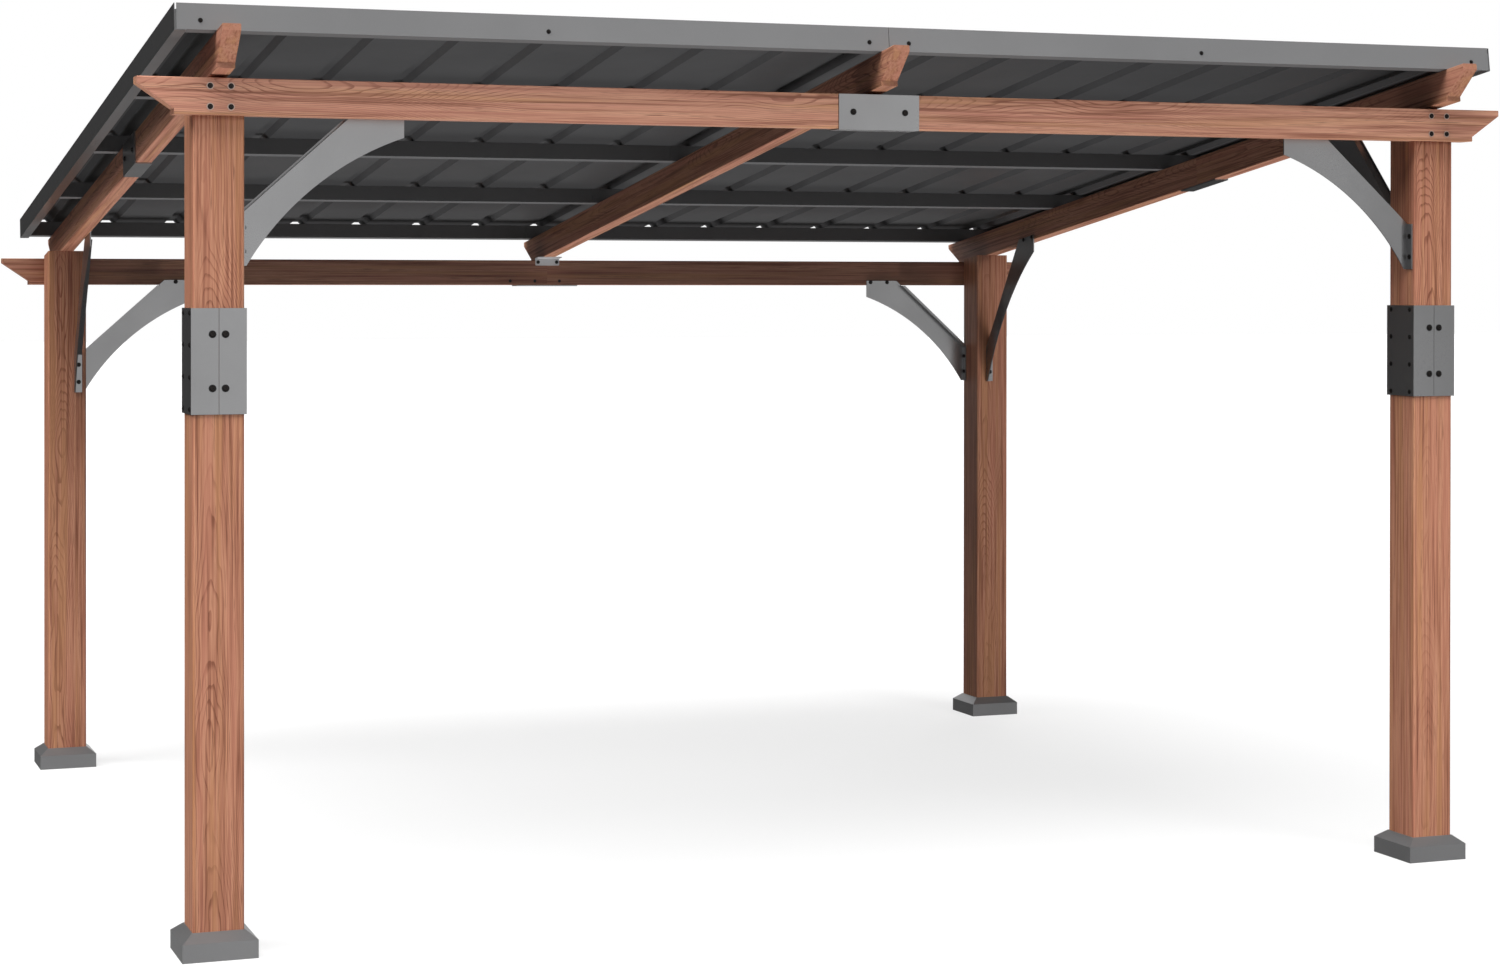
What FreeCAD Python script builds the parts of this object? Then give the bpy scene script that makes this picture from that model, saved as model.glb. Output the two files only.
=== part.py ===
import FreeCAD, Part
import math
import os

import Sketcher
from FreeCAD import Placement, Rotation, Vector

# A lean-to roofed garden shelter. X runs along the high front, Y from the front to the
# low rear, Z up. The ground is at Z = 0. All lengths are in millimetres.

SIZES = {
    # posts
    "post_width": 140,
    "post_rounding": 7,
    "post_spacing_x": 3840,
    "post_spacing_y": 3250,
    "post_joint_height": 1613,
    # foot covers
    "foot_reach": 32.5,
    "foot_side_height": 50,
    "foot_slope_height": 24,
    "foot_top_rim": 2,
    "foot_wall": 3,
    "foot_clearance": 0.3,
    # collars over the joints of the front posts
    "collar_height": 287,
    "collar_thickness": 5,
    "collar_clearance": 0.3,
    "collar_seam": 1.2,
    # front and rear beams, the front one let into its posts
    "beam_overhang": 222,
    "beam_height": 100,
    "beam_thickness": 68,
    "beam_notch": 38,
    "collar_to_brace": 114.5,
    "rear_beam_top": 1917,
    # shaped ends and rounded edges of beams and rafters
    "nose_height": 18,
    "end_cut_run": 98,
    "end_step": 15,
    "wood_rounding": 3,
    # rafters, measured along the slope from one beam's edge to the other's
    "rafter_height": 100,
    "rafter_width": 50,
    "rafter_front_reach": 248,
    "rafter_rear_reach": 175,
    "rafter_joint": 1433,
    # joint covers of beams and rafters
    "cover_length": 254,
    "cover_thickness": 4,
    # knee braces
    "brace_reach": 450,
    "brace_shoulder": 314,
    "brace_tab": 19,
    "brace_tip_depth": 49,
    "brace_post_top": 262,
    "brace_post_bottom": 405,
    "brace_toe": 12,
    "brace_bow": 50,
    "brace_thickness": 4,
    "brace_flange": 28,
    "brace_foot_flange": 29,
    "brace_lip": 9,
    "brace_clearance": 1.5,
    # middle rafter brackets
    "bracket_width": 100,
    "bracket_drop": 30,
    "bracket_depth": 40,
    "bracket_thickness": 3,
    "bracket_rounding": 5,
    # purlins, set back from the rafters' tips
    "purlin_height": 53,
    "purlin_depth": 40,
    "purlin_wall": 2,
    "purlin_front_setback": 88,
    "purlin_rear_setback": 70,
    "purlin_spacing_most": 1000,
    "purlin_seam": 2,
    "joint_plate_length": 90,
    "joint_plate_thickness": 2,
    # ribbed roof sheets
    "rib_pitch": 247,
    "rib_height": 17,
    "rib_top": 28,
    "rib_base": 58,
    "sheet_thickness": 1,
    "sheet_lap_edge": 6,
    "sheet_rear_overhang": 20,
    # roof edge trims
    "roof_side_overhang": 136,
    "trim_thickness": 2,
    "side_trim_lip": 32,
    "trim_clearance": 0.4,
    "trim_corner_gap": 6,
    "front_trim_seam": 1.5,
}

doc = FreeCAD.newDocument("GardenShelter")
sheet = doc.addObject("Spreadsheet::Sheet", "Sizes")
for row, (alias, amount) in enumerate(SIZES.items(), start=1):
    sheet.set("A%d" % row, alias)
    sheet.set("B%d" % row, str(amount))
    sheet.setAlias("B%d" % row, alias)
doc.recompute()


def size(alias):
    return float(sheet.get(alias))


# Derived places

FRONT_BOTTOM = (
    "(Sizes.post_joint_height + Sizes.collar_height / 2 + Sizes.collar_to_brace"
    " + Sizes.brace_post_bottom)"
)
FRONT_TOP = "(%s + Sizes.beam_height)" % FRONT_BOTTOM
RUN = "(Sizes.post_spacing_y + Sizes.post_width + Sizes.beam_thickness - Sizes.beam_notch)"
FALL = "(%s - Sizes.rear_beam_top)" % FRONT_TOP
SLOPE = "(%s / %s)" % (FALL, RUN)
SLOPE_LENGTH = "sqrt(%s ^ 2 + %s ^ 2)" % (RUN, FALL)

half_x = size("post_spacing_x") / 2
half_y = size("post_spacing_y") / 2
post_half = size("post_width") / 2
front_bottom = (size("post_joint_height") + size("collar_height") / 2
                + size("collar_to_brace") + size("brace_post_bottom"))
front_top = front_bottom + size("beam_height")
rear_bottom = size("rear_beam_top") - size("beam_height")
slope_run = (size("post_spacing_y") + size("post_width") + size("beam_thickness")
             - size("beam_notch"))
slope_fall = front_top - size("rear_beam_top")
slope_length = math.hypot(slope_run, slope_fall)
slope_angle = math.degrees(math.atan2(slope_fall, slope_run))
slope_cos = slope_run / slope_length
slope_sin = slope_fall / slope_length


def level_y(along, above):
    # Level distance behind the slope's start of a place on the slope.
    return along * slope_cos + above * slope_sin


# The origin lies under the middle of the rafters' two tips.
slope_start = -half_y - post_half + size("beam_notch")
rafter_end = slope_length + size("rafter_rear_reach")
front_tip = slope_start + level_y(-size("rafter_front_reach"),
                                  size("rafter_height") - size("nose_height"))
rear_tip = slope_start + level_y(rafter_end, size("rafter_height"))
shift_y = -(front_tip + rear_tip) / 2


# Building blocks

def new_body(label):
    body = doc.addObject("PartDesign::Body", label)
    body.Label = label
    return body


def origin_plane(body, role):
    for feature in body.Origin.OriginFeatures:
        if feature.Role == role:
            return feature


def place(body, x, y, z):
    body.Placement = Placement(Vector(x, y + shift_y, z), Rotation())


def place_on_slope(body, x=0):
    # X stays level, Y runs down the slope and Z stands square to it.
    turn = Rotation(Vector(1, 0, 0), -slope_angle)
    start = Vector(x, slope_start + shift_y, front_top)
    body.Placement = Placement(start, turn)


def new_sketch(body, role, offset=None):
    sketch = body.newObject("Sketcher::SketchObject", body.Label + "_sketch")
    sketch.AttachmentSupport = (origin_plane(body, role), [""])
    sketch.MapMode = "FlatFace"
    if offset:
        sketch.setExpression("AttachmentOffset.Base.z", offset)
    return sketch


def fix_point(sketch, curve, end, across, up, start):
    first = sketch.addConstraint(Sketcher.Constraint("DistanceX", -1, 1, curve, end, start.x))
    second = sketch.addConstraint(Sketcher.Constraint("DistanceY", -1, 1, curve, end, start.y))
    sketch.setExpression("Constraints[%d]" % first, across)
    sketch.setExpression("Constraints[%d]" % second, up)


def polygon(body, role, corners, offset=None):
    # Closed outline. The corners start on a circle and their constraints place them.
    sketch = new_sketch(body, role, offset)
    count = len(corners)
    radius = size("post_width")
    circle = [Vector(radius * math.cos(2 * math.pi * k / count),
                     radius * math.sin(2 * math.pi * k / count), 0) for k in range(count)]
    lines = [Part.LineSegment(circle[k], circle[(k + 1) % count]) for k in range(count)]
    sketch.addGeometry(lines)
    sketch.addConstraint([Sketcher.Constraint("Coincident", k, 2, (k + 1) % count, 1)
                          for k in range(count)])
    for k, (across, up) in enumerate(corners):
        fix_point(sketch, k, 1, across, up, circle[k])
    return sketch


def pad(body, sketch, length, reverse=False, both=False):
    feature = body.newObject("PartDesign::Pad", body.Label + "_pad")
    feature.Profile = sketch
    feature.setExpression("Length", length)
    feature.Reversed = reverse
    if both:
        feature.SideType = "Symmetric"
    body.Tip = feature
    return feature


def pocket(body, sketch, length=None, reverse=False, both=False):
    feature = body.newObject("PartDesign::Pocket", body.Label + "_pocket")
    feature.Profile = sketch
    feature.Reversed = reverse
    if both:
        feature.SideType = "Symmetric"
    if length:
        feature.setExpression("Length", length)
    else:
        feature.Type = "ThroughAll"
    body.Tip = feature
    return feature


def mirror_x(body, feature):
    copy = body.newObject("PartDesign::Mirrored", body.Label + "_mirror")
    copy.Originals = [feature]
    copy.MirrorPlane = (origin_plane(body, "YZ_Plane"), [""])
    body.Tip = copy
    return copy


def edges_along(feature, axis):
    # Names of the straight edges that run along one axis.
    names = []
    for number, edge in enumerate(feature.Shape.Edges, start=1):
        ends = [vertex.Point for vertex in edge.Vertexes]
        if len(ends) == 2 and abs((ends[1] - ends[0]).normalize().dot(axis)) > 0.9999:
            names.append("Edge%d" % number)
    return names


def fillet(body, base, edges, radius):
    feature = body.newObject("PartDesign::Fillet", body.Label + "_fillet")
    feature.Base = (base, edges)
    feature.setExpression("Radius", radius)
    body.Tip = feature
    return feature


def square(width):
    return [("-(%s) / 2" % width, "-(%s) / 2" % width),
            ("(%s) / 2" % width, "-(%s) / 2" % width),
            ("(%s) / 2" % width, "(%s) / 2" % width),
            ("-(%s) / 2" % width, "(%s) / 2" % width)]


# Posts

def underside(y, z):
    # Height of the rafters' underside over a piece that starts at y, z.
    run = "(%s + Sizes.post_spacing_y / 2 + Sizes.post_width / 2 - Sizes.beam_notch)" % y
    return "%s - %s * %s - %s" % (FRONT_TOP, run, SLOPE, z)


def make_post(label, y, bottom, top=None):
    # One length of square post; without a top height it is cut to the rafters' slope.
    body = new_body(label)
    front = top or underside("%s - Sizes.post_width / 2" % y, bottom)
    rear = top or underside("%s + Sizes.post_width / 2" % y, bottom)
    outline = polygon(body, "YZ_Plane", [
        ("-Sizes.post_width / 2", "0"),
        ("Sizes.post_width / 2", "0"),
        ("Sizes.post_width / 2", rear),
        ("-Sizes.post_width / 2", front),
    ])
    block = pad(body, outline, "Sizes.post_width", both=True)
    doc.recompute()
    fillet(body, block, edges_along(block, Vector(0, 0, 1)), "Sizes.post_rounding")
    return body


def cut_beam_seat(body, bottom):
    # Notch in a front post's face, from the beam's underside to above the post's top.
    low = "%s - %s" % (FRONT_BOTTOM, bottom)
    high = "%s + Sizes.beam_height * 2" % low
    seat = polygon(body, "YZ_Plane", [
        ("-Sizes.post_width", low),
        ("Sizes.beam_notch - Sizes.post_width / 2", low),
        ("Sizes.beam_notch - Sizes.post_width / 2", high),
        ("-Sizes.post_width", high),
    ])
    pocket(body, seat, "2 * Sizes.post_width", both=True)


FRONT = "(-Sizes.post_spacing_y / 2)"
REAR = "(Sizes.post_spacing_y / 2)"
for name, side in (("left", -1), ("right", 1)):
    lower = make_post("post_front_%s_lower" % name, FRONT, "0", "Sizes.post_joint_height")
    place(lower, side * half_x, -half_y, 0)
    upper = make_post("post_front_%s_upper" % name, FRONT, "Sizes.post_joint_height")
    cut_beam_seat(upper, "Sizes.post_joint_height")
    place(upper, side * half_x, -half_y, size("post_joint_height"))
    rear = make_post("post_rear_%s" % name, REAR, "0")
    place(rear, side * half_x, half_y, 0)


# Foot covers

def make_foot(label):
    # Square skirt with a sloping top that closes round the post, hollow below.
    body = new_body(label)
    width = "(Sizes.post_width + 2 * Sizes.foot_reach)"
    rim = "(Sizes.post_width + 2 * Sizes.foot_top_rim)"
    pad(body, polygon(body, "XY_Plane", square(width)), "Sizes.foot_side_height")
    low = polygon(body, "XY_Plane", square(width), "Sizes.foot_side_height")
    high = polygon(body, "XY_Plane", square(rim),
                   "Sizes.foot_side_height + Sizes.foot_slope_height")
    slope = body.newObject("PartDesign::AdditiveLoft", label + "_slope")
    slope.Profile = low
    slope.Sections = [high]
    body.Tip = slope
    inside = polygon(body, "XY_Plane", square(width + " - 2 * Sizes.foot_wall"))
    pocket(body, inside, "Sizes.foot_side_height - Sizes.foot_wall", reverse=True)
    hole = polygon(body, "XY_Plane", square("Sizes.post_width + 2 * Sizes.foot_clearance"))
    pocket(body, hole, reverse=True)
    return body


for depth, y in (("front", -half_y), ("rear", half_y)):
    for name, side in (("left", -1), ("right", 1)):
        place(make_foot("foot_%s_%s" % (depth, name)), side * half_x, y, 0)


# Collars

def make_collar(label):
    # Two half shells that meet at a seam in the middle of the front and rear faces.
    body = new_body(label)
    inner = "(Sizes.post_width / 2 + Sizes.collar_clearance)"
    outer = "(%s + Sizes.collar_thickness)" % inner
    seam = "Sizes.collar_seam / 2"
    half = polygon(body, "XY_Plane", [
        (seam, "-" + outer),
        (outer, "-" + outer),
        (outer, outer),
        (seam, outer),
        (seam, inner),
        (inner, inner),
        (inner, "-" + inner),
        (seam, "-" + inner),
    ])
    mirror_x(body, pad(body, half, "Sizes.collar_height"))
    return body


collar_bottom = size("post_joint_height") - size("collar_height") / 2
for name, side in (("left", -1), ("right", 1)):
    place(make_collar("collar_front_%s" % name), side * half_x, -half_y, collar_bottom)


# Front and rear beams

def make_beam_half(label, side, rear):
    # Half a beam from the middle joint to its shaped end.
    body = new_body(label)
    end = "%d * (Sizes.post_spacing_x / 2 + Sizes.beam_overhang)" % side
    cut = "(%s - %d * Sizes.end_cut_run)" % (end, side)
    outline = polygon(body, "XZ_Plane", [
        ("0", "0"),
        (cut, "0"),
        (cut, "Sizes.end_step"),
        (end, "Sizes.beam_height - Sizes.nose_height"),
        (end, "Sizes.beam_height"),
        ("0", "Sizes.beam_height"),
    ])
    timber = pad(body, outline, "Sizes.beam_thickness", reverse=rear)
    doc.recompute()
    fillet(body, timber, edges_along(timber, Vector(1, 0, 0)), "Sizes.wood_rounding")
    return body


def make_beam_cover(label, facing):
    # Angle plate over the beam's outer face and underside.
    body = new_body(label)
    out = "%d * (Sizes.beam_thickness + Sizes.cover_thickness)" % facing
    face = "%d * Sizes.beam_thickness" % facing
    outline = polygon(body, "YZ_Plane", [
        ("0", "-Sizes.cover_thickness"),
        (out, "-Sizes.cover_thickness"),
        (out, "Sizes.beam_height"),
        (face, "Sizes.beam_height"),
        (face, "0"),
        ("0", "0"),
    ])
    pad(body, outline, "Sizes.cover_length", both=True)
    return body


rear_face_y = half_y + post_half
for name, side in (("left", -1), ("right", 1)):
    place(make_beam_half("front_beam_%s" % name, side, False), 0, slope_start, front_bottom)
    place(make_beam_half("rear_beam_%s" % name, side, True), 0, rear_face_y, rear_bottom)
place(make_beam_cover("front_beam_joint_cover", -1), 0, slope_start, front_bottom)
place(make_beam_cover("rear_beam_joint_cover", 1), 0, rear_face_y, rear_bottom)


# Rafters

RAFTER_FRONT = "-Sizes.rafter_front_reach"
RAFTER_REAR = "(%s + Sizes.rafter_rear_reach)" % SLOPE_LENGTH


def make_rafter(label, start, end):
    # A length of rafter; each of its ends is a shaped tip or a square joint.
    body = new_body(label)
    if start == RAFTER_FRONT:
        corners = [
            (start + " + Sizes.end_cut_run", "0"),
            (start + " + Sizes.end_cut_run", "Sizes.end_step"),
            (start, "Sizes.rafter_height - Sizes.nose_height"),
            (start, "Sizes.rafter_height"),
        ]
    else:
        corners = [(start, "0"), (start, "Sizes.rafter_height")]
    if end == RAFTER_REAR:
        corners += [
            (end, "Sizes.rafter_height"),
            (end, "Sizes.rafter_height - Sizes.nose_height"),
            (end + " - Sizes.end_cut_run", "Sizes.end_step"),
            (end + " - Sizes.end_cut_run", "0"),
        ]
    else:
        corners += [(end, "Sizes.rafter_height"), (end, "0")]
    timber = pad(body, polygon(body, "YZ_Plane", corners), "Sizes.rafter_width", both=True)
    doc.recompute()
    fillet(body, timber, edges_along(timber, Vector(0, 1, 0)), "Sizes.wood_rounding")
    return body


def make_rafter_cover(label, side):
    # Angle plate over the rafter's outer face and underside.
    body = new_body(label)
    inner = "%d * -Sizes.rafter_width / 2" % side
    face = "%d * Sizes.rafter_width / 2" % side
    out = "%d * (Sizes.rafter_width / 2 + Sizes.cover_thickness)" % side
    outline = polygon(body, "XZ_Plane", [
        (inner, "-Sizes.cover_thickness"),
        (out, "-Sizes.cover_thickness"),
        (out, "Sizes.rafter_height"),
        (face, "Sizes.rafter_height"),
        (face, "0"),
        (inner, "0"),
    ], "-Sizes.rafter_joint")
    pad(body, outline, "Sizes.cover_length", both=True)
    return body


for name, side in (("left", -1), ("right", 1)):
    front = make_rafter("rafter_%s_front" % name, RAFTER_FRONT, "Sizes.rafter_joint")
    rear = make_rafter("rafter_%s_rear" % name, "Sizes.rafter_joint", RAFTER_REAR)
    cover = make_rafter_cover("rafter_%s_joint_cover" % name, side)
    for body in (front, rear, cover):
        place_on_slope(body, side * half_x)
place_on_slope(make_rafter("rafter_middle", RAFTER_FRONT, RAFTER_REAR))


# Knee braces

def make_brace(label, role, side, seat, behind=False):
    # Folded plate from a post to the beam or rafter. Its own origin is at the post's face,
    # level with the beam's underside. seat gives the height of what it carries. One that
    # lies behind its beam has its long flange to the rear, but its foot flange to the front.
    body = new_body(label)
    reach, shoulder = size("brace_reach"), size("brace_shoulder")
    top, bottom = -size("brace_post_top"), -size("brace_post_bottom")
    tip = Vector(side * reach, seat["start"] + seat["rise"] * reach - size("brace_tip_depth"), 0)
    toe = Vector(side * size("brace_toe"), bottom, 0)
    chord = toe - tip
    normal = Vector(-chord.y, chord.x, 0).normalize() * -side
    middle = (tip + toe) * 0.5 + normal * size("brace_bow")

    def seat_at(distance):
        return "(%s + %s * (%s))" % (seat["start_cell"], seat["rise_cell"], distance)

    points = {
        "post_top": ("0", "-Sizes.brace_post_top"),
        "shoulder": ("%d * Sizes.brace_shoulder" % side,
                     seat_at("Sizes.brace_shoulder") + " + Sizes.brace_tab"),
        "tip_top": ("%d * Sizes.brace_reach" % side,
                    seat_at("Sizes.brace_reach") + " + Sizes.brace_tab"),
        "tip": ("%d * Sizes.brace_reach" % side,
                seat_at("Sizes.brace_reach") + " - Sizes.brace_tip_depth"),
        "toe": ("%d * Sizes.brace_toe" % side, "-Sizes.brace_post_bottom"),
        "heel": ("0", "-Sizes.brace_post_bottom"),
    }
    tab = size("brace_tab")
    starts = {
        "post_top": Vector(0, top, 0),
        "shoulder": Vector(side * shoulder, seat["start"] + seat["rise"] * shoulder + tab, 0),
        "tip_top": Vector(side * reach, seat["start"] + seat["rise"] * reach + tab, 0),
        "tip": tip,
        "toe": toe,
        "heel": Vector(0, bottom, 0),
    }
    order = ["post_top", "shoulder", "tip_top", "tip", "toe", "heel"]
    sketch = new_sketch(body, role)
    for number, name in enumerate(order):
        here, there = starts[name], starts[order[(number + 1) % 6]]
        if name == "tip":
            ends = (here, there) if side > 0 else (there, here)
            sketch.addGeometry(Part.Arc(ends[0], middle, ends[1]))
        else:
            sketch.addGeometry(Part.LineSegment(here, there))
    arc_start, arc_end = (1, 2) if side > 0 else (2, 1)
    joins = [(0, 2, 1, 1), (1, 2, 2, 1), (2, 2, 3, arc_start), (3, arc_end, 4, 1),
             (4, 2, 5, 1), (5, 2, 0, 1)]
    sketch.addConstraint([Sketcher.Constraint("Coincident", *join) for join in joins])
    for number, name in enumerate(order):
        end = arc_start if name == "tip" else 1
        fix_point(sketch, number, end, points[name][0], points[name][1], starts[name])
    run = "(Sizes.brace_reach - Sizes.brace_toe)"
    rise = "(%s - Sizes.brace_tip_depth + Sizes.brace_post_bottom)" % seat_at("Sizes.brace_reach")
    radius = "((%s ^ 2 + %s ^ 2) / 4 + Sizes.brace_bow ^ 2) / (2 * Sizes.brace_bow)" % (run, rise)
    bow = sketch.addConstraint(Sketcher.Constraint("Radius", 3, sketch.Geometry[3].Radius))
    sketch.setExpression("Constraints[%d]" % bow, radius)
    pad(body, sketch, "Sizes.brace_thickness", reverse=behind)

    # Flange along the straight edge, its lip turned outwards, and the flange on the post
    rise_to_tab = "(%s + Sizes.brace_tab + Sizes.brace_post_top)" % seat["start_cell"]
    climb = "(%s + Sizes.brace_post_top)" % points["shoulder"][1]
    slant = "sqrt(Sizes.brace_shoulder ^ 2 + %s ^ 2)" % climb

    def edge_ends(inset):
        # The straight edge moved inwards, from the post to just below what is carried.
        drop = "(%s) * %s / Sizes.brace_shoulder" % (inset, slant)
        over = "Sizes.brace_shoulder * (%s - Sizes.brace_tab - Sizes.brace_clearance + %s) / %s" % (
            rise_to_tab, drop, rise_to_tab)
        return [("0", "-Sizes.brace_post_top - %s" % drop),
                ("%d * %s" % (side, over), seat_at(over) + " - Sizes.brace_clearance")]

    def strip(outer, inner, offset=None):
        return polygon(body, role, edge_ends(outer) + edge_ends(inner)[::-1], offset)

    pad(body, strip("0", "Sizes.brace_thickness"), "Sizes.brace_flange", reverse=behind)
    lip_place = "(Sizes.brace_flange - Sizes.brace_thickness)"
    if behind:
        lip_place = "-" + lip_place
    lip = strip("Sizes.brace_thickness - Sizes.brace_lip", "Sizes.brace_thickness", lip_place)
    pad(body, lip, "Sizes.brace_thickness", reverse=behind)
    plate = polygon(body, role, [
        ("0", "-Sizes.brace_post_bottom"),
        ("%d * Sizes.brace_thickness" % side, "-Sizes.brace_post_bottom"),
        ("%d * Sizes.brace_thickness" % side, "-Sizes.brace_post_top"),
        ("0", "-Sizes.brace_post_top"),
    ])
    pad(body, plate, "Sizes.brace_foot_flange")
    return body


slope_ratio = slope_fall / slope_run
level_seat = {"start": 0, "rise": 0, "start_cell": "0", "rise_cell": "0"}
front_seat = {
    "start": size("beam_height") - (size("post_width") - size("beam_notch")) * slope_ratio,
    "rise": -slope_ratio,
    "start_cell": "(Sizes.beam_height - (Sizes.post_width - Sizes.beam_notch) * %s)" % SLOPE,
    "rise_cell": "(-%s)" % SLOPE,
}
rear_seat = {
    "start": size("beam_height") + (size("post_width") + size("beam_thickness")) * slope_ratio,
    "rise": slope_ratio,
    "start_cell": "(Sizes.beam_height + (Sizes.post_width + Sizes.beam_thickness) * %s)" % SLOPE,
    "rise_cell": SLOPE,
}
inner_x = half_x - post_half
inner_y = half_y - post_half
for name, side in (("left", -1), ("right", 1)):
    # Those along the beams have their plates on the beams' inner faces.
    brace = make_brace("brace_front_%s_along_beam" % name, "XZ_Plane", -side, level_seat,
                       behind=True)
    place(brace, side * inner_x, slope_start, front_bottom)
    brace = make_brace("brace_rear_%s_along_beam" % name, "XZ_Plane", -side, level_seat)
    place(brace, side * inner_x, rear_face_y, rear_bottom)
    # Those along the rafters have their plates on the inner side, all folded to the right.
    plate_x = side * (half_x - size("rafter_width") / 2)
    if side > 0:
        plate_x -= size("brace_thickness")
    brace = make_brace("brace_front_%s_along_rafter" % name, "YZ_Plane", 1, front_seat)
    place(brace, plate_x, -inner_y, front_bottom)
    brace = make_brace("brace_rear_%s_along_rafter" % name, "YZ_Plane", -1, rear_seat)
    place(brace, plate_x, inner_y, rear_bottom)


# Brackets of the middle rafter

def add_bracket(body, facing, y, z):
    # Angle under the rafter, its face on a beam's inner side, from the rafter's underside.
    back = "%d * Sizes.bracket_thickness" % facing
    out = "%d * Sizes.bracket_depth" % facing

    def corner(across, down="0"):
        return ("%s + %s" % (y, across), "%s - %s" % (z, down))

    def under(across, down="0"):
        return ("%s + %s" % (y, across), "%s - (%s) * %s - %s" % (z, across, SLOPE, down))

    outline = polygon(body, "YZ_Plane", [
        corner("0", "Sizes.bracket_drop"),
        corner(back, "Sizes.bracket_drop"),
        under(back, "Sizes.bracket_thickness"),
        under(out, "Sizes.bracket_thickness"),
        under(out),
        corner("0"),
    ])
    return pad(body, outline, "Sizes.bracket_width", both=True)


brackets = new_body("rafter_brackets")
beam_gap = "(Sizes.post_spacing_y + Sizes.post_width - Sizes.beam_notch)"
add_bracket(brackets, 1, "0", "0")
both_brackets = add_bracket(brackets, -1, beam_gap, "(-%s * %s)" % (beam_gap, SLOPE))
doc.recompute()
fillet(brackets, both_brackets, edges_along(both_brackets, Vector(0, 1, 0)),
       "Sizes.bracket_rounding")
place(brackets, 0, slope_start, front_top)


# Purlins

PURLIN_FIRST = "(Sizes.purlin_front_setback - Sizes.rafter_front_reach)"
PURLIN_LAST = "(%s - Sizes.purlin_rear_setback - Sizes.purlin_depth)" % RAFTER_REAR
SHEET_LOW = "(Sizes.rafter_height + Sizes.purlin_height)"
SHEET_REAR = "(%s + Sizes.purlin_depth + Sizes.sheet_rear_overhang)" % PURLIN_LAST
ROOF_SIDE = "(Sizes.post_spacing_x / 2 + Sizes.roof_side_overhang)"
SHEET_SIDE = "(%s - Sizes.trim_thickness - Sizes.trim_clearance)" % ROOF_SIDE

purlin_span = (rafter_end + size("rafter_front_reach") - size("purlin_front_setback")
               - size("purlin_rear_setback") - size("purlin_depth"))
purlin_gaps = math.ceil(purlin_span / size("purlin_spacing_most"))


def purlin_row(number):
    # Place of one row's web along the slope.
    return "(%s + %d * (%s - %s) / %d)" % (
        PURLIN_FIRST, number, PURLIN_LAST, PURLIN_FIRST, purlin_gaps)


def make_purlins(label, first_row, rows):
    # Rows of two channels that meet over the middle rafter, webs to the front.
    body = new_body(label)
    web = purlin_row(first_row)
    low = "Sizes.rafter_height"
    high = "(Sizes.rafter_height + Sizes.purlin_height)"
    profile = [
        (web, low),
        (web + " + Sizes.purlin_depth", low),
        (web + " + Sizes.purlin_depth", low + " + Sizes.purlin_wall"),
        (web + " + Sizes.purlin_wall", low + " + Sizes.purlin_wall"),
        (web + " + Sizes.purlin_wall", high + " - Sizes.purlin_wall"),
        (web + " + Sizes.purlin_depth", high + " - Sizes.purlin_wall"),
        (web + " + Sizes.purlin_depth", high),
        (web, high),
    ]
    run = "%s - Sizes.purlin_seam / 2" % SHEET_SIDE
    halves = []
    for sign, reverse in (("", False), ("-", True)):
        outline = polygon(body, "YZ_Plane", profile, sign + "(Sizes.purlin_seam / 2)")
        halves.append(pad(body, outline, run, reverse=reverse))
    if rows > 1:
        pattern_rows(body, halves, rows)
    place_on_slope(body)
    return body


def pattern_rows(body, features, rows):
    pattern = body.newObject("PartDesign::LinearPattern", body.Label + "_rows")
    pattern.Originals = features
    pattern.Direction = (origin_plane(body, "Y_Axis"), [""])
    pattern.Occurrences = rows
    pattern.setExpression("Length", "%s - %s" % (purlin_row(rows - 1), PURLIN_FIRST))
    body.Tip = pattern


make_purlins("purlin_front", 0, 1)
make_purlins("purlins_middle", 1, purlin_gaps - 1)
make_purlins("purlin_rear", purlin_gaps, 1)

# Flat plates that join the two halves of each purlin behind the front row
plates = new_body("purlin_joint_plates")
plate = polygon(plates, "XZ_Plane", [
    ("-Sizes.joint_plate_length / 2", "Sizes.rafter_height"),
    ("Sizes.joint_plate_length / 2", "Sizes.rafter_height"),
    ("Sizes.joint_plate_length / 2", "Sizes.rafter_height + Sizes.purlin_height"),
    ("-Sizes.joint_plate_length / 2", "Sizes.rafter_height + Sizes.purlin_height"),
], "-" + purlin_row(1))
first_plate = pad(plates, plate, "Sizes.joint_plate_thickness")
pattern_rows(plates, [first_plate], purlin_gaps)
place_on_slope(plates)


# Ribbed roof sheets

sheet_side = (half_x + size("roof_side_overhang") - size("trim_thickness")
              - size("trim_clearance"))
ribs_each_side = int((sheet_side - size("rib_base") / 2) / size("rib_pitch"))
middle_rib = ribs_each_side // 2
panel_edges = (None, -middle_rib, 0, middle_rib, None)


def rib_corners(number):
    # Underside of one rib, from left to right.
    middle = "(%d * Sizes.rib_pitch)" % number
    return [
        (middle + " - Sizes.rib_base / 2", "0"),
        (middle + " - Sizes.rib_top / 2", "Sizes.rib_height"),
        (middle + " + Sizes.rib_top / 2", "Sizes.rib_height"),
        (middle + " + Sizes.rib_base / 2", "0"),
    ]


def lap_edge(number):
    # A sheet ends beside the rib that laps over its neighbour.
    return "%d * Sizes.rib_pitch + Sizes.rib_base / 2 + Sizes.sheet_lap_edge" % number


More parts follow.
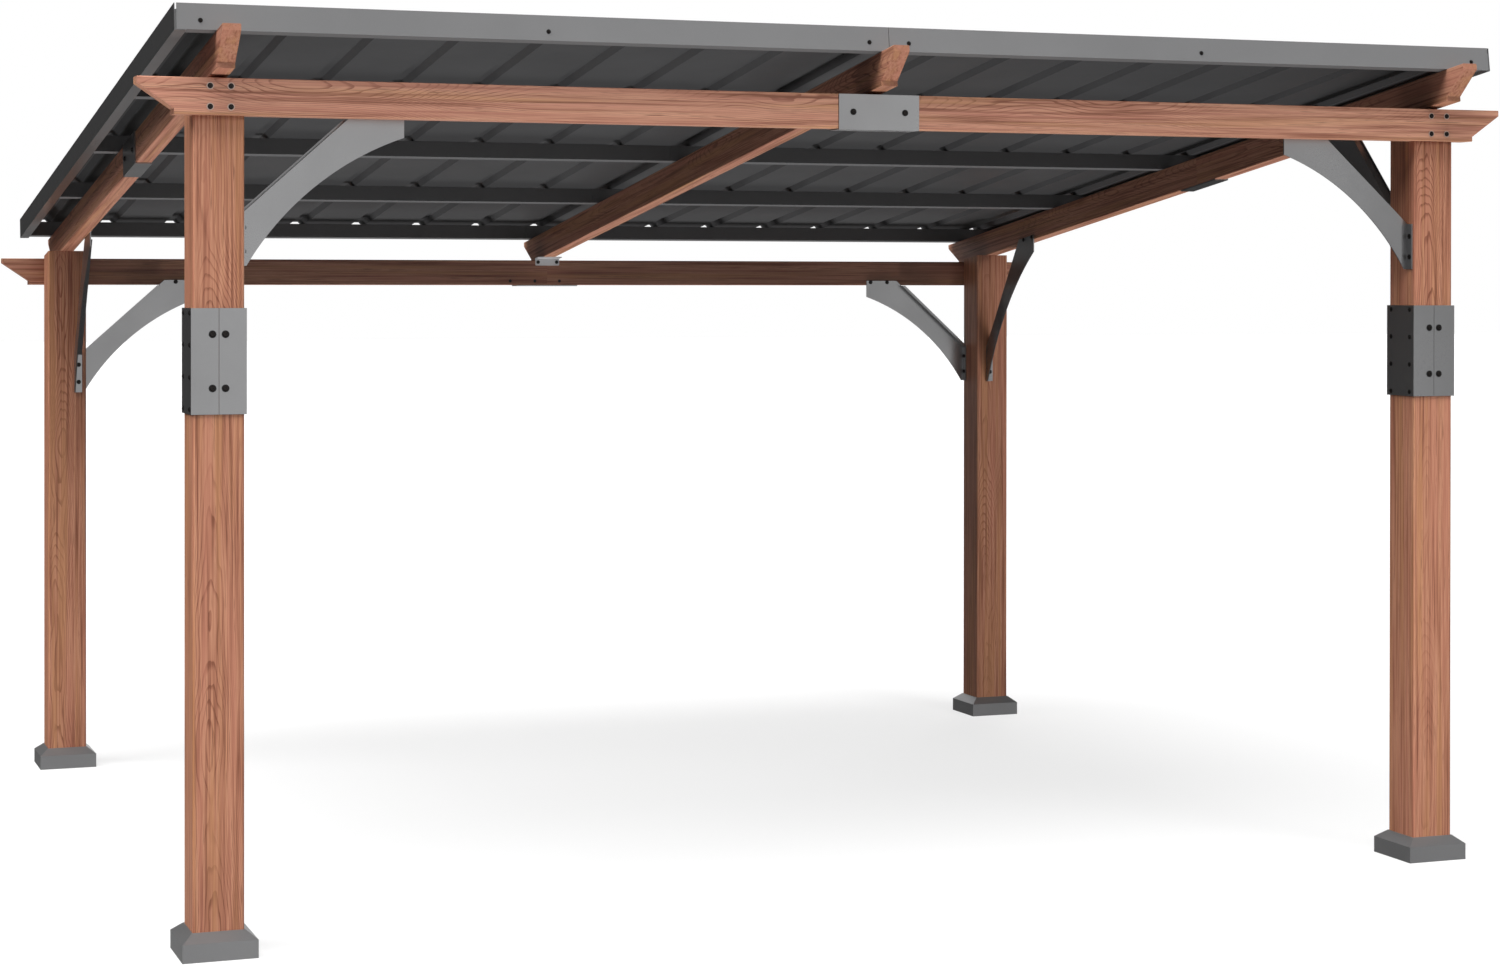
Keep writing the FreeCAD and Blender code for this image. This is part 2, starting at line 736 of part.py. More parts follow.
def make_panel(label, start, end):
    body = new_body(label)
    first = -ribs_each_side if start is None else start + 1
    last = ribs_each_side if end is None else end
    left = "-" + SHEET_SIDE if start is None else lap_edge(start)
    right = SHEET_SIDE if end is None else lap_edge(end)
    under = [(left, "0")]
    for number in range(first, last + 1):
        under += rib_corners(number)
    under.append((right, "0"))
    corners = [(x, SHEET_LOW + " + " + z) for x, z in under]
    corners += [(x, z + " + Sizes.sheet_thickness") for x, z in reversed(corners)]
    outline = polygon(body, "XZ_Plane", corners, "-" + PURLIN_FIRST)
    pad(body, outline, "%s - %s" % (SHEET_REAR, PURLIN_FIRST), reverse=True)
    place_on_slope(body)
    return body


for number in range(len(panel_edges) - 1):
    make_panel("roof_panel_%d" % (number + 1), panel_edges[number], panel_edges[number + 1])


# Roof edge trims

TRIM_LOW = "Sizes.rafter_height"
TRIM_HIGH = "(%s + Sizes.rib_height + Sizes.sheet_thickness)" % SHEET_LOW


def make_front_trim(label):
    # Two face plates in front of the first purlin and the open ends of the ribs.
    body = new_body(label)
    start = "Sizes.front_trim_seam / 2"
    end = ROOF_SIDE + " - Sizes.trim_corner_gap"
    outline = polygon(body, "XZ_Plane", [
        (start, TRIM_LOW),
        (end, TRIM_LOW),
        (end, TRIM_HIGH),
        (start, TRIM_HIGH),
    ], "-" + PURLIN_FIRST)
    mirror_x(body, pad(body, outline, "Sizes.trim_thickness"))
    place_on_slope(body)
    return body


def make_side_trim(label, side):
    # Upright face along the slope with a lip turned in under the purlins.
    body = new_body(label)
    out = "%d * %s" % (side, ROOF_SIDE)
    face = "%d * (%s - Sizes.trim_thickness)" % (side, ROOF_SIDE)
    lip = "%d * (%s - Sizes.side_trim_lip)" % (side, ROOF_SIDE)
    outline = polygon(body, "XZ_Plane", [
        (lip, TRIM_LOW + " - Sizes.trim_thickness"),
        (out, TRIM_LOW + " - Sizes.trim_thickness"),
        (out, TRIM_HIGH),
        (face, TRIM_HIGH),
        (face, TRIM_LOW),
        (lip, TRIM_LOW),
    ], "-" + PURLIN_FIRST)
    pad(body, outline, "%s - %s" % (SHEET_REAR, PURLIN_FIRST), reverse=True)
    place_on_slope(body)
    return body


make_front_trim("roof_front_trim")
for name, side in (("left", -1), ("right", 1)):
    make_side_trim("roof_side_trim_%s" % name, side)


# Checks and files

doc.recompute()
for item in doc.Objects:
    if "Invalid" in item.State or "Error" in item.State:
        raise RuntimeError("failed: %s %s" % (item.Label, item.State))
os.makedirs("parts", exist_ok=True)
pieces = [item for item in doc.Objects if item.TypeId == "PartDesign::Body"]
for piece in pieces:
    shape = piece.Shape
    if shape.isNull() or not shape.isValid() or not shape.Solids:
        raise RuntimeError("bad shape: %s" % piece.Label)
for piece in pieces:
    box = piece.Shape.BoundBox
    piece.Shape.exportStep("parts/%s.step" % piece.Label)
    print("%-34s %2d solid(s) %9.1f cm3  x %7.1f %7.1f  y %7.1f %7.1f  z %7.1f %7.1f" % (
        piece.Label, len(piece.Shape.Solids), piece.Shape.Volume / 1000,
        box.XMin, box.XMax, box.YMin, box.YMax, box.ZMin, box.ZMax))
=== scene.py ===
import math

import bmesh
import bpy
from mathutils import Euler, Matrix, Vector


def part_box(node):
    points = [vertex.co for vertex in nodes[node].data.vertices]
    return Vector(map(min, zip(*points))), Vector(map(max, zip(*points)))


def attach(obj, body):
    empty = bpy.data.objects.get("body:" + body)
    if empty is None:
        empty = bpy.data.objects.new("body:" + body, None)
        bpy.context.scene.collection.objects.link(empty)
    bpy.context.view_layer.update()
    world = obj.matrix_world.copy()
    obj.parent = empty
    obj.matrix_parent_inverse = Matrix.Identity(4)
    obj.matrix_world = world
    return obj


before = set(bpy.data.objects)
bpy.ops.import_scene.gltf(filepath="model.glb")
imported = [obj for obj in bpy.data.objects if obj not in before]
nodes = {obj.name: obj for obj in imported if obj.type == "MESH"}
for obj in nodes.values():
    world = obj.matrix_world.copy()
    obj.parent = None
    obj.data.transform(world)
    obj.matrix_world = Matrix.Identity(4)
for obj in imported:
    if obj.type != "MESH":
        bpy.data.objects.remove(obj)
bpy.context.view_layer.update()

sides = {"left": -1, "right": 1}
print("frame loaded:", len(nodes), "pieces")


def seen(red, green, blue):  # a colour as the screen shows it, 0 to 255, made linear
    def linear(value):
        value = value / 255
        return value / 12.92 if value <= 0.04045 else ((value + 0.055) / 1.055) ** 2.4
    return (linear(red), linear(green), linear(blue), 1.0)


def linked(thing):  # an object that is now in the scene
    bpy.context.scene.collection.objects.link(thing)
    return thing


# Materials

class Wire:  # one socket of a material; sums on it add Math nodes
    def __init__(self, finish, socket):
        self.finish = finish
        self.socket = socket

    def sum(self, operation, *values):
        return self.finish.node("ShaderNodeMath", {"operation": operation}, dict(enumerate(values)))

    def __add__(self, other):
        return self.sum("ADD", self, other)

    def __radd__(self, other):
        return self.sum("ADD", other, self)

    def __sub__(self, other):
        return self.sum("SUBTRACT", self, other)

    def __rsub__(self, other):
        return self.sum("SUBTRACT", other, self)

    def __mul__(self, other):
        return self.sum("MULTIPLY", self, other)

    def __rmul__(self, other):
        return self.sum("MULTIPLY", other, self)

    def __truediv__(self, other):
        return self.sum("DIVIDE", self, other)

    def __pow__(self, other):
        return self.sum("POWER", self, other)

    def __abs__(self):
        return self.sum("ABSOLUTE", self)

    def fraction(self):
        return self.sum("FRACT", self)


class Finish:  # a material under construction
    def __init__(self, name, **shaderValues):
        self.material = bpy.data.materials.new(name)
        self.material.use_nodes = True
        self.tree = self.material.node_tree
        self.shader = self.tree.nodes["Principled BSDF"]
        self.paint(**shaderValues)

    def feed(self, socket, value):
        if isinstance(value, Wire):
            self.tree.links.new(value.socket, socket)
        else:
            socket.default_value = value

    def node(self, kind, settings=None, values=None, output=0):
        made = self.tree.nodes.new(kind)
        for name, setting in (settings or {}).items():
            if name == "stops":
                while len(made.color_ramp.elements) < len(setting):
                    made.color_ramp.elements.new(1.0)
                for stop, (place, colour) in zip(made.color_ramp.elements, setting):
                    stop.position = place
                    stop.color = colour
            else:
                setattr(made, name, setting)
        for place, value in (values or {}).items():
            self.feed(made.inputs[place], value)
        return Wire(self, made.outputs[output])

    def scaled(self, vector, factors):
        return self.node("ShaderNodeVectorMath", {"operation": "MULTIPLY"}, {0: vector, 1: factors})

    def moved(self, vector, step):
        return self.node("ShaderNodeVectorMath", {"operation": "ADD"}, {0: vector, 1: step})

    def noise(self, vector, scale, detail, output="Fac"):
        return self.node("ShaderNodeTexNoise", None,
                         {"Vector": vector, "Scale": scale, "Detail": detail}, output)

    def risen(self, value, start, full, curve="LINEAR"):  # 0 at the start, 1 where it is full
        return self.node("ShaderNodeMapRange", {"interpolation_type": curve},
                         {"Value": value, "From Min": start, "From Max": full})

    def blended(self, first, second, share, how="MIX"):
        return self.node("ShaderNodeMix", {"data_type": "RGBA", "blend_type": how},
                         {0: share, 6: first, 7: second}, 2)

    def paint(self, **values):  # the shader's sockets, with _ for each space
        for socket, value in values.items():
            self.feed(self.shader.inputs[socket.replace("_", " ")], value)
        return self.material


def dress(nodeName, material):
    for slot in nodes[nodeName].material_slots:
        slot.material = material


# Stained wood

woodLook = {
    "pale": seen(197, 141, 112),
    "ochre": seen(198, 143, 101),
    "rose": seen(186, 122, 100),
    "middle": seen(173, 116, 91),
    "dark": seen(130, 79, 60),
    "line": seen(98, 55, 41),
    "tones": ((0.1, "pale"), (0.5, "middle"), (0.95, "dark")),  # how deep the stain is at each
    "marks": {  # how often each kind comes in a metre, twice across and once along, and its detail
        "swirl": ((18, 18, 1.6), 2.0),
        "ripple": ((45, 45, 8), 1.0),
        "band": ((38, 38, 0.9), 2.0),
        "streak": ((130, 130, 2.2), 4.0),
        "fibre": ((620, 620, 14), 2.0),
        "patch": ((3, 3, 1.1), 1.0),
    },
    "strayStretch": (0.6, 0.6, 1.3),
    "strayScale": 1.2,
    "stray": (0.09, 0.09, 0),  # metres over which the heart of the tree wanders
    "taper": 0.035,  # metres by which the rings shift over each metre of length
    "ringGap": 0.0034,  # metres between growth rings
    "ringSwirl": 3.4,  # how many rings a swirl and a ripple push them aside
    "ringRipple": 1.1,
    "lateWood": (0.62, 0.94, 0.95),  # where in a ring its dark part starts, is full and fades
    "lateMean": 0.2,
    "cutEnd": (0.85, 0.35),  # how squarely a face cuts the grain, from an end to a side
    "endStreaks": 0.2,  # how much of the streaks a cut end still shows
    "ringed": (0.4, 0.62),  # the patches that show their rings
    "leastRings": 0.2,  # how much of them the other patches show
    "poreStreak": 0.6,
    "poreFibre": 0.4,
    "pores": (0.43, 0.33),  # where pores, ochre bands and rose bands set in and are full
    "warm": (0.52, 0.66),
    "cool": (0.48, 0.34),
    "ringShare": 0.7,
    "streakShare": 3.0,
    "fibreShare": 0.5,
    "bandShare": 0.8,
    "patchShare": 0.5,
    "hueShare": 0.5,
    "poreShare": 0.7,
    "roughness": 0.5,
    "fibreRoughness": 0.25,
    "poreRoughness": 0.15,
    "shine": 0.3,
    "relief": 0.3,
    "reliefDepth": 0.0005,
    "fibreRelief": 0.5,
    "ringRelief": 0.25,
    "poreRelief": 0.6,
    "seedStep": (3.1, 1.7, 5.3),  # metres that part the patterns of two lengths
}


def stainedWood(name, centre, turn, heart, paintedLightAndShade, seed):
    look = woodLook
    wood = Finish(name, Specular_IOR_Level=look["shine"])
    spot = wood.node("ShaderNodeTexCoord", output="Object")
    grain = wood.node("ShaderNodeMapping", {"vector_type": "TEXTURE"},  # its Z runs with the grain
                      {"Vector": spot, "Location": centre, "Rotation": turn})
    shifted = wood.moved(grain, [seed * step for step in look["seedStep"]])
    swirl, ripple, band, streak, fibre, patch = (
        wood.noise(wood.scaled(shifted, often), 1.0, detail)
        for often, detail in look["marks"].values())

    # Growth rings round a heart that strays, so that they bend and close into ovals
    stray = wood.noise(wood.scaled(shifted, look["strayStretch"]), look["strayScale"], 1.0, "Color")
    stray = wood.scaled(wood.moved(stray, (-0.5, -0.5, -0.5)), look["stray"])
    trunk = wood.moved(wood.moved(grain, heart), stray)
    across, deep, along = (
        wood.node("ShaderNodeSeparateXYZ", None, {0: trunk}, axis) for axis in "XYZ")
    rings = (across * across + deep * deep) ** 0.5 + along * look["taper"]
    rings = rings / look["ringGap"] + swirl * look["ringSwirl"] + ripple * look["ringRipple"]
    ring = rings.fraction()
    start, full, fade = look["lateWood"]
    lateWood = (wood.risen(ring, start, full, "SMOOTHSTEP")
                * wood.risen(ring, 1.0, fade, "SMOOTHSTEP"))

    # Long marks show on the sides of a length, and hardly on its cut ends
    grainWay = Euler(turn).to_matrix() @ Vector((0, 0, 1))
    facing = wood.node("ShaderNodeVectorMath", {"operation": "DOT_PRODUCT"}, {
        0: wood.node("ShaderNodeTexCoord", output="Normal"), 1: grainWay}, "Value")
    sideGrain = wood.risen(abs(facing), *look["cutEnd"])
    ringed = wood.risen(patch, *look["ringed"], "SMOOTHSTEP")
    pores = wood.risen(streak * look["poreStreak"] + fibre * look["poreFibre"],
                       *look["pores"], "SMOOTHSTEP")
    streaks = (streak - 0.5) * look["streakShare"] + (fibre - 0.5) * look["fibreShare"]
    ringsShown = ringed * (1 - look["leastRings"]) + look["leastRings"]
    streaksShown = sideGrain * (1 - look["endStreaks"]) + look["endStreaks"]
    depth = (0.5 + (lateWood - look["lateMean"]) * ringsShown * look["ringShare"]
             + streaks * streaksShown + (band - 0.5) * look["bandShare"]
             + (patch - 0.5) * look["patchShare"])

    tone = wood.node("ShaderNodeValToRGB", {"stops": [
        (place, look[shade]) for place, shade in look["tones"]]}, {0: depth})
    tone = wood.blended(tone, look["ochre"], wood.risen(band, *look["warm"]) * look["hueShare"])
    tone = wood.blended(tone, look["rose"], wood.risen(band, *look["cool"]) * look["hueShare"])
    tone = wood.blended(tone, look["line"], pores * look["poreShare"])
    # painted light and shade: a per-kind multiplier that makes the front beams paler and the rear
    # beams and rafters darker
    tone = wood.blended(tone, paintedLightAndShade, 1.0, "MULTIPLY")
    rough = (look["roughness"] + (fibre - 0.5) * look["fibreRoughness"]
             + pores * look["poreRoughness"])
    relief = wood.node("ShaderNodeBump", None, {
        "Strength": look["relief"], "Distance": look["reliefDepth"],
        "Height": (fibre * look["fibreRelief"] - lateWood * look["ringRelief"]
                   - pores * look["poreRelief"])})
    return wood.paint(Base_Color=tone, Roughness=rough, Normal=relief)


frontLow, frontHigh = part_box("front_beam_left")
rearLow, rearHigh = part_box("rear_beam_left")
slopeRun = rearHigh.y - frontHigh.y
slopeFall = frontHigh.z - rearHigh.z
slopeAngle = math.atan2(slopeFall, slopeRun)
woodRuns = {  # how each kind of timber lies, how many metres off its tree's heart was, and a colour multiplied in as painted light and shade: the front beams paler as painted light, the rear beams and rafters darker as painted shade
    "post": ((0, 0, 0), (0.022, 0.15, 0), (1.0, 1.0, 1.0, 1)),
    "front": ((0, math.pi / 2, 0), (0.05, 0.12, 0), (1.12, 1.24, 1.36, 1)),
    "rear": ((0, math.pi / 2, 0), (0.15, 0.07, 0), (0.86, 0.93, 1.0, 1)),
    "rafter": ((-math.pi / 2 - slopeAngle, 0, 0), (0.1, 0.02, 0), (0.86, 0.91, 0.97, 1)),
}
timbers = [name for name in sorted(nodes)
           if name.startswith(("post_", "front_beam_", "rear_beam_", "rafter_"))
           and "cover" not in name and "bracket" not in name]
for number, name in enumerate(timbers, 1):
    turn, heart, paintedLightAndShade = woodRuns[name.split("_")[0]]
    low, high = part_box(name)
    dress(name, stainedWood("stained_wood_" + name, (low + high) / 2, turn, heart, paintedLightAndShade, number))
print("wood stained:", len(timbers), "lengths")


# Coated steel

steelLooks = {
    "grey_steel": {"tone": seen(161, 161, 162), "roughness": 0.3, "metallic": 0.93},
    "foot_steel": {"tone": seen(146, 146, 147), "roughness": 0.38, "metallic": 0.68},
    "roof_steel": {"tone": seen(68, 68, 69), "roughness": 0.5, "metallic": 0.15},
    "purlin_steel": {"tone": seen(104, 104, 105), "roughness": 0.5, "metallic": 0.15},
    "bracket_steel": {"tone": seen(205, 205, 207), "roughness": 0.4, "metallic": 0.3},
    "trim_steel": {"tone": seen(134, 134, 135), "roughness": 0.42, "metallic": 0.3},
    "bolt_steel": {"tone": seen(35, 31, 29), "roughness": 0.4, "metallic": 0.5},
    "black_washer": {"tone": seen(44, 44, 45), "roughness": 0.4, "metallic": 0.5},
    "bright_washer": {"tone": seen(196, 172, 160), "roughness": 0.35, "metallic": 0.6},
}
coatLook = {
    "marks": {"cloud": (3.5, 3.0), "speck": (900.0, 1.0), "peel": (420.0, 2.0)},  # scale and detail
    "cloudShade": 0.16, "speckShade": 0.14, "shade": 0.03,
    "cloudRoughness": 0.12, "speckRoughness": 0.1,
    "relief": 0.12, "reliefDepth": 0.0004,
}
steelPieces = {  # how a piece's name starts, and its steel; the others have grey steel
    "foot": "foot_steel",
    "roof_front_trim": "trim_steel",
    "roof_panel": "roof_steel",
    "purlin": "purlin_steel",
    "rafter_brackets": "bracket_steel",
}


def coatedSteel(name, look):
    steel = Finish(name, Metallic=look["metallic"])
    spot = steel.node("ShaderNodeTexCoord", output="Object")
    cloud, speck, peel = (steel.noise(spot, *mark) for mark in coatLook["marks"].values())
    shade = ((cloud - 0.5) * coatLook["cloudShade"] + (speck - 0.5) * coatLook["speckShade"]
             + coatLook["shade"])
    tone = steel.blended(look["tone"], (0, 0, 0, 1), shade)
    rough = (look["roughness"] + (cloud - 0.5) * coatLook["cloudRoughness"]
             + (speck - 0.5) * coatLook["speckRoughness"])
    relief = steel.node("ShaderNodeBump", None, {
        "Strength": coatLook["relief"], "Distance": coatLook["reliefDepth"], "Height": peel})
    return steel.paint(Base_Color=tone, Roughness=rough, Normal=relief)


steels = {name: coatedSteel(name, look) for name, look in steelLooks.items()}
for name in nodes:
    if name not in timbers:
        steel = [steel for start, steel in steelPieces.items() if name.startswith(start)]
        dress(name, steels[steel[0] if steel else "grey_steel"])
print("steel coated")


# Bolts and screws

boltLook = {"head": 0.0065, "rise": 0.004, "washer": 0.0088, "washerRise": 0.0012,
            "crown": 0.00468, "crownEdge": 0.0024,  # where the top of the head rounds off
            "socket": 0.003, "socketFloor": 0.002}
boltSteps = 14


def boltMesh(size):
    look = {key: value * size for key, value in boltLook.items()}
    profile = [(0, look["socketFloor"]), (look["socket"], look["socketFloor"]),
               (look["socket"], look["rise"]), (look["crown"], look["rise"]),
               (look["head"], look["crownEdge"]), (look["head"], look["washerRise"]),
               (look["washer"], look["washerRise"]), (look["washer"], 0), (0, 0)]
    shape = bmesh.new()
    corners = [shape.verts.new((across, 0, up)) for across, up in profile]
    edges = [shape.edges.new(pair) for pair in zip(corners, corners[1:])]
    bmesh.ops.spin(shape, geom=corners + edges, cent=(0, 0, 0), axis=(0, 0, 1),
                   angle=2 * math.pi, steps=boltSteps, use_merge=True)
    bmesh.ops.remove_doubles(shape, verts=shape.verts, dist=1e-6)
    bmesh.ops.recalc_face_normals(shape, faces=shape.faces)
    washerTop = look["washerRise"] * 1.01  # a little over it, as a mesh rounds its places
    for face in shape.faces:  # the washer has the second material
        face.material_index = 1 if face.calc_center_median().z < washerTop else 0
    mesh = bpy.data.meshes.new("bolt")
    shape.to_mesh(mesh)
    shape.free()
    return mesh


def bolts(name, places, size, washer="black_washer"):  # a place is a point and the head's facing
    pattern = boltMesh(size)
    group = bmesh.new()
    for point, facing in places:
        before = len(group.verts)
        group.from_mesh(pattern)
        group.verts.ensure_lookup_table()
        turn = Vector((0, 0, 1)).rotation_difference(Vector(facing)).to_matrix().to_4x4()
        bmesh.ops.transform(group, matrix=Matrix.Translation(point) @ turn,
                            verts=group.verts[before:])
    mesh = bpy.data.meshes.new(name)
    group.to_mesh(mesh)
    group.free()
    mesh.materials.append(steels["bolt_steel"])
    mesh.materials.append(steels[washer])
    piece = linked(bpy.data.objects.new(name, mesh))
    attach(piece, "root")


alongSlope = Vector((0, math.cos(slopeAngle), -math.sin(slopeAngle)))
aboveSlope = Vector((0, math.sin(slopeAngle), math.cos(slopeAngle)))


def onSlope(across, along, above):  # a place in the rafters' own frame, in metres
    return Vector((across, frontHigh.y, frontHigh.z)) + along * alongSlope + above * aboveSlope


def rafterUnderside(y):
    return frontHigh.z - (y - frontHigh.y) * slopeFall / slopeRun


# Four through each beam end into its post
beamBolts = {"spread": 0.028, "size": 1.15}
places = []
for end, low, high, facing in (("front", frontLow, frontHigh, -1), ("rear", rearLow, rearHigh, 1)):
    face = low.y if facing < 0 else high.y
    post = "post_front_%s_upper" if end == "front" else "post_rear_%s"
    for side in sides:
        postLow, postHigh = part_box(post % side)
        for across in (-1, 1):
            for up in (-1, 1):
                places.append((((postLow.x + postHigh.x) / 2 + across * beamBolts["spread"], face,
                                (low.z + high.z) / 2 + up * beamBolts["spread"]), (0, facing, 0)))
bolts("beam_bolts", places, beamBolts["size"], "bright_washer")

# Two on each joint cover, and three small ones low on the rear beam's inner face
coverBolts = {"reach": 0.082, "size": 1.1,
              "lowPlaces": (-0.1545, -0.0515, 0.0515), "lowRise": 0.0167, "lowSize": 0.7}
places = []
for end, facing in (("front", -1), ("rear", 1)):
    low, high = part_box(end + "_beam_joint_cover")
    face = low.y if facing < 0 else high.y
    for across in (-1, 1):
        places.append(((across * coverBolts["reach"], face, (low.z + high.z) / 2), (0, facing, 0)))
for side, sign in sides.items():
    low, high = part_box("rafter_%s_joint_cover" % side)
    middle = (low + high) / 2
    middle.x = low.x if sign < 0 else high.x
    for along in (-1, 1):
        places.append((middle + along * coverBolts["reach"] * alongSlope, (sign, 0, 0)))
bolts("joint_cover_bolts", places, coverBolts["size"])
bolts("rear_joint_screws", [
    ((across, rearLow.y, rearLow.z + coverBolts["lowRise"]), (0, -1, 0))
    for across in coverBolts["lowPlaces"]], coverBolts["lowSize"])

# Beside the seams and along the sides of the collars
collarBolts = {"seamReach": 0.0175, "seamRise": 0.073, "size": 1.2,
               "sideReach": 0.052, "sideRises": (0.0435, 0.13), "sideSize": 0.85}
seamPlaces, sidePlaces = [], []
for side in sides:
    low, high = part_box("collar_front_" + side)
    middle = (low + high) / 2
    for facing in (-1, 1):
        seamFace, sideFace = (low.y, low.x) if facing < 0 else (high.y, high.x)
        for up in (-1, 1):
            for across in (-1, 1):
                seamPlaces.append(((middle.x + across * collarBolts["seamReach"], seamFace,
                                    middle.z + up * collarBolts["seamRise"]), (0, facing, 0)))
                for rise in collarBolts["sideRises"]:
                    sidePlaces.append(((sideFace, middle.y + across * collarBolts["sideReach"],
                                        middle.z + up * rise), (facing, 0, 0)))
bolts("collar_seam_bolts", seamPlaces, collarBolts["size"])
bolts("collar_side_bolts", sidePlaces, collarBolts["sideSize"])

# Two on each brace's foot flange and two on its upper tab
braceBolts = {"drops": (0.301, 0.366),  # below the beam, on the flange
              "reaches": (0.432, 0.357),  # away from the post, on the tab
              "rise": 0.0125,  # above the lower edge of the beam or rafter
              "flange": 0.0135, "plate": 0.004, "size": 0.95}
plate = braceBolts["plate"]
places = []
for end, beamLow, beamFace, inwards in (("front", frontLow, frontHigh.y, 1),
                                        ("rear", rearLow, rearLow.y, -1)):
    for side, sign in sides.items():
        low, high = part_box("brace_%s_%s_along_beam" % (end, side))
        post = high.x if sign > 0 else low.x
        for drop in braceBolts["drops"]:
            places.append(((post - sign * plate, low.y + braceBolts["flange"], beamLow.z - drop),
                           (-sign, 0, 0)))
        for reach in braceBolts["reaches"]:
            places.append(((post - sign * reach, beamFace + inwards * plate,
                            beamLow.z + braceBolts["rise"]), (0, inwards, 0)))
        low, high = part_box("brace_%s_%s_along_rafter" % (end, side))
        post = low.y if end == "front" else high.y
        for drop in braceBolts["drops"]:
            places.append((((low.x + high.x + plate) / 2, post + inwards * plate,
                            beamLow.z - drop), (0, inwards, 0)))
        face, facing = (low.x + plate, 1) if side == "left" else (low.x, -1)
        for reach in braceBolts["reaches"]:
            y = post + inwards * reach
            places.append(((face, y, rafterUnderside(y) + braceBolts["rise"]), (facing, 0, 0)))
bolts("brace_bolts", places, braceBolts["size"])

# Two on each bracket of the middle rafter
bracketBolts = {"reach": 0.039, "drop": 0.016, "plate": 0.003, "size": 0.85}
places = []
for face, facing in ((frontHigh.y, 1), (rearLow.y, -1)):
    for across in (-1, 1):
        places.append(((across * bracketBolts["reach"], face + facing * bracketBolts["plate"],
                        rafterUnderside(face) - bracketBolts["drop"]), (0, facing, 0)))
bolts("bracket_bolts", places, bracketBolts["size"])

# Screws through the front trim, and through the roof sheets into the purlins
trimScrews = {"reaches": (0.062, 1.026, 1.987), "along": -0.162, "above": 0.125, "size": 0.75}
bolts("trim_screws", [
    (onSlope(sign * reach, trimScrews["along"], trimScrews["above"]), -alongSlope)
    for sign in sides.values() for reach in trimScrews["reaches"]], trimScrews["size"])
roofScrews = {"first": -0.14, "last": 3.5356, "rows": 5, "pitch": 0.247, "beside": 0.042,
              "above": 0.154, "ribs": 8, "size": 0.7}
places = []
for row in range(roofScrews["rows"]):
    share = row / (roofScrews["rows"] - 1)
    along = roofScrews["first"] + share * (roofScrews["last"] - roofScrews["first"])
    for rib in range(-roofScrews["ribs"], roofScrews["ribs"]):
        across = rib * roofScrews["pitch"] + roofScrews["beside"]
        places.append((onSlope(across, along, roofScrews["above"]), aboveSlope))
bolts("roof_screws", places, roofScrews["size"])
print("bolts and screws set")


# Stage, light and camera

stageLook = {
    "floorSize": 80,
    "floor": 0.12, "floorShown": 0.24,  # how pale it is to the light, and to the camera
    "floorLift": 0.735,  # what the camera sees on top of that, so that it fades into the backdrop
    "ambient": 0.04,
    "suns": {  # strength, where it shines from, and how many degrees wide
        "key": (3.9, (-0.19, -0.29, 0.93), 44),
        "fill": (1.22, (0.3, -0.87, 0.36), 26),
        "side": (2.3, (-0.75, -0.1, 0.65), 40),
        "rise": (2.9, (0.0, -0.08, -0.99), 22),  # from below, for the undersides
        "back": (1.2, (0.5, 0.8, 0.33), 30),
    },
    "cards": {  # strength, place, turn in degrees and size; only shiny surfaces show them
        "front": (395, (2.5, -12.5, 1.0), 0, (14, 10)),
        "right": (260, (12.5, 1.0, 3.0), 90, (9, 6)),
        "rear": (260, (3.5, 12.5, 3.0), 180, (9, 6)),
        "low": (42, (0.0, 10.0, -3.0), 180, (14, 3)),
        "left": (150, (-12.5, -2.0, 3.0), 270, (9, 6)),
    },
}


def forCamera(tree, otherwise, shown):  # one value in the camera's eyes, one for all other rays
    pick = tree.nodes.new("ShaderNodeMix")
    ray = tree.nodes.new("ShaderNodeLightPath").outputs["Is Camera Ray"]
    tree.links.new(ray, pick.inputs[0])
    pick.inputs[2].default_value = otherwise
    pick.inputs[3].default_value = shown
    return pick.outputs[0]


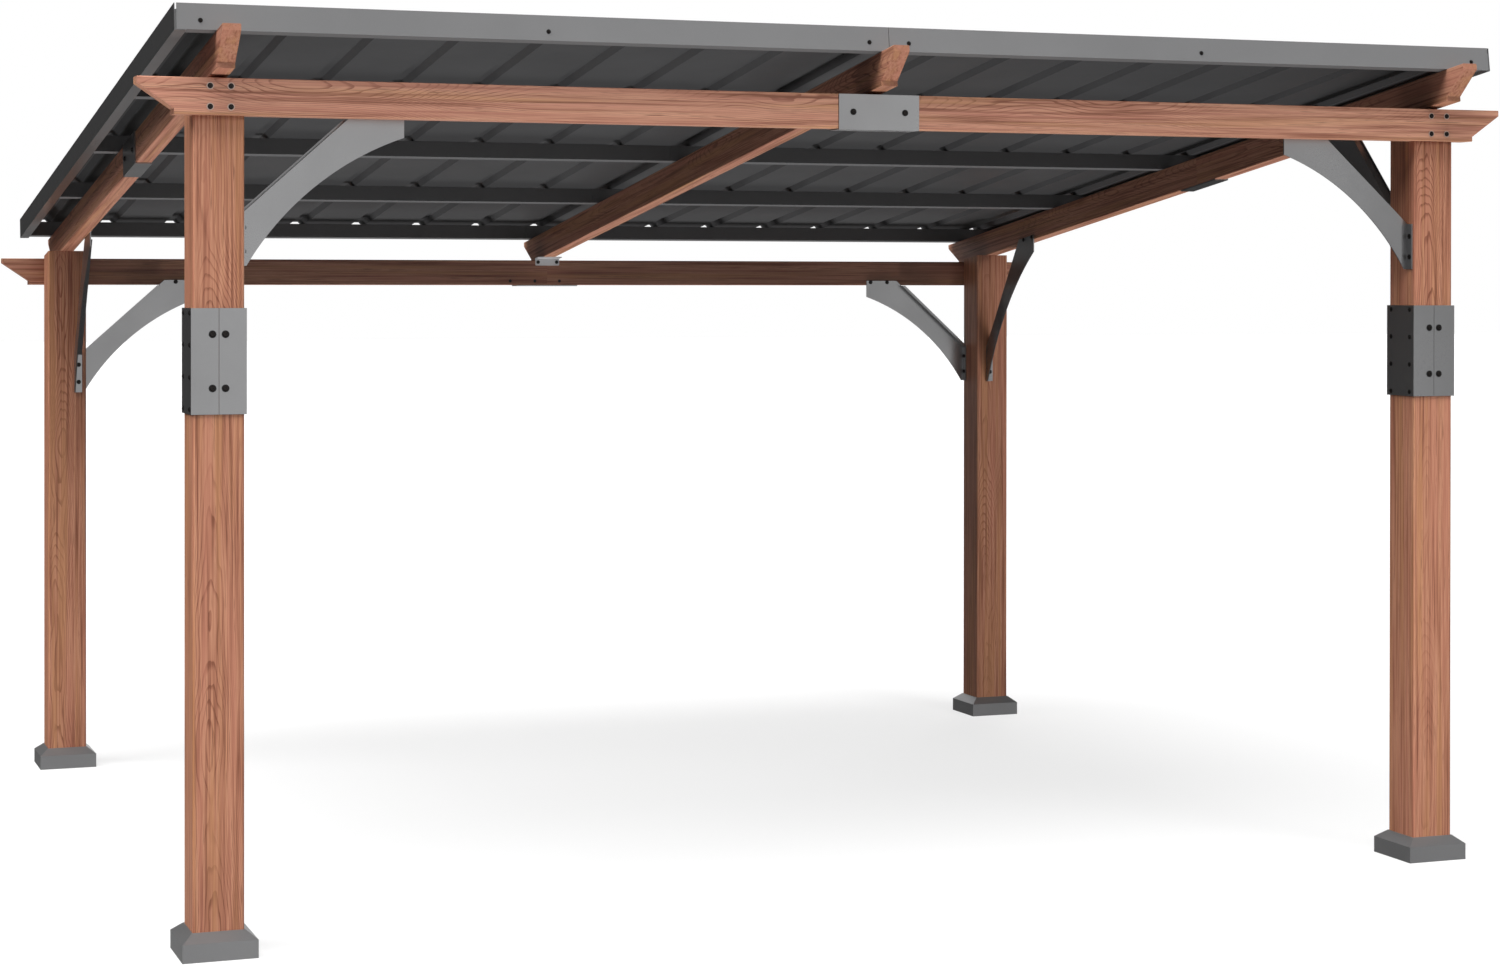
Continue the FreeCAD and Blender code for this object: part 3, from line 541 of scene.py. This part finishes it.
floorShape = bmesh.new()
bmesh.ops.create_grid(floorShape, x_segments=1, y_segments=1, size=stageLook["floorSize"])
floorMesh = bpy.data.meshes.new("floor")
floorShape.to_mesh(floorMesh)
floorShape.free()
floor = linked(bpy.data.objects.new("floor", floorMesh))
floorFinish = Finish("pale_floor", Roughness=1.0, Specular_IOR_Level=0.0,
                     Emission_Color=(1, 1, 1, 1))
floorFinish.tree.links.new(
    forCamera(floorFinish.tree, stageLook["floor"], stageLook["floorShown"]),
    floorFinish.shader.inputs["Base Color"])
floorFinish.tree.links.new(
    forCamera(floorFinish.tree, 0.0, stageLook["floorLift"]),
    floorFinish.shader.inputs["Emission Strength"])
floorMesh.materials.append(floorFinish.material)
floor.visible_glossy = False
floor.visible_shadow = False  # lets the light from below through

world = bpy.data.worlds.new("studio")
bpy.context.scene.world = world
world.use_nodes = True
backdrop = world.node_tree.nodes["Background"]
backdrop.inputs["Color"].default_value = (1, 1, 1, 1)
world.node_tree.links.new(forCamera(world.node_tree, stageLook["ambient"], 1.0),
                          backdrop.inputs["Strength"])

for name, (energy, source, width) in stageLook["suns"].items():
    lampData = bpy.data.lights.new(name, "SUN")
    lampData.energy = energy
    lampData.angle = math.radians(width)
    lamp = linked(bpy.data.objects.new(name, lampData))
    lamp.rotation_euler = Vector(source).to_track_quat("Z", "Y").to_euler()
    lamp.visible_glossy = False

for name, (energy, place, turn, size) in stageLook["cards"].items():
    cardData = bpy.data.lights.new(name + "_card", "AREA")
    cardData.energy = energy
    cardData.shape = "RECTANGLE"
    cardData.size, cardData.size_y = size
    card = linked(bpy.data.objects.new(name + "_card", cardData))
    card.location = place
    card.rotation_euler = (math.pi / 2, 0, math.radians(turn))
    card.visible_camera = False
    card.visible_diffuse = False

view = {"place": (-3.26899, -9.43037, 1.82355), "turn": 0.35669, "dip": 0.00453, "lean": 0.00082,
        "focal": 2851.66, "centre": (747.64, 296.58), "frame": (1500, 967),  # in pixels
        "sensor": 36, "reach": 200}
cameraData = bpy.data.cameras.new("camera")
cameraData.sensor_width = view["sensor"]
cameraData.lens = view["focal"] / view["frame"][0] * view["sensor"]
cameraData.shift_x = (view["frame"][0] / 2 - view["centre"][0]) / view["frame"][0]
cameraData.shift_y = (view["centre"][1] - view["frame"][1] / 2) / view["frame"][0]
cameraData.clip_end = view["reach"]
camera = linked(bpy.data.objects.new("camera", cameraData))
camera.location = view["place"]
camera.rotation_euler = (math.pi / 2 - view["dip"], -view["lean"], -view["turn"])
bpy.context.scene.camera = camera
bpy.context.scene.view_settings.view_transform = "Standard"
print("stage, light and camera set")
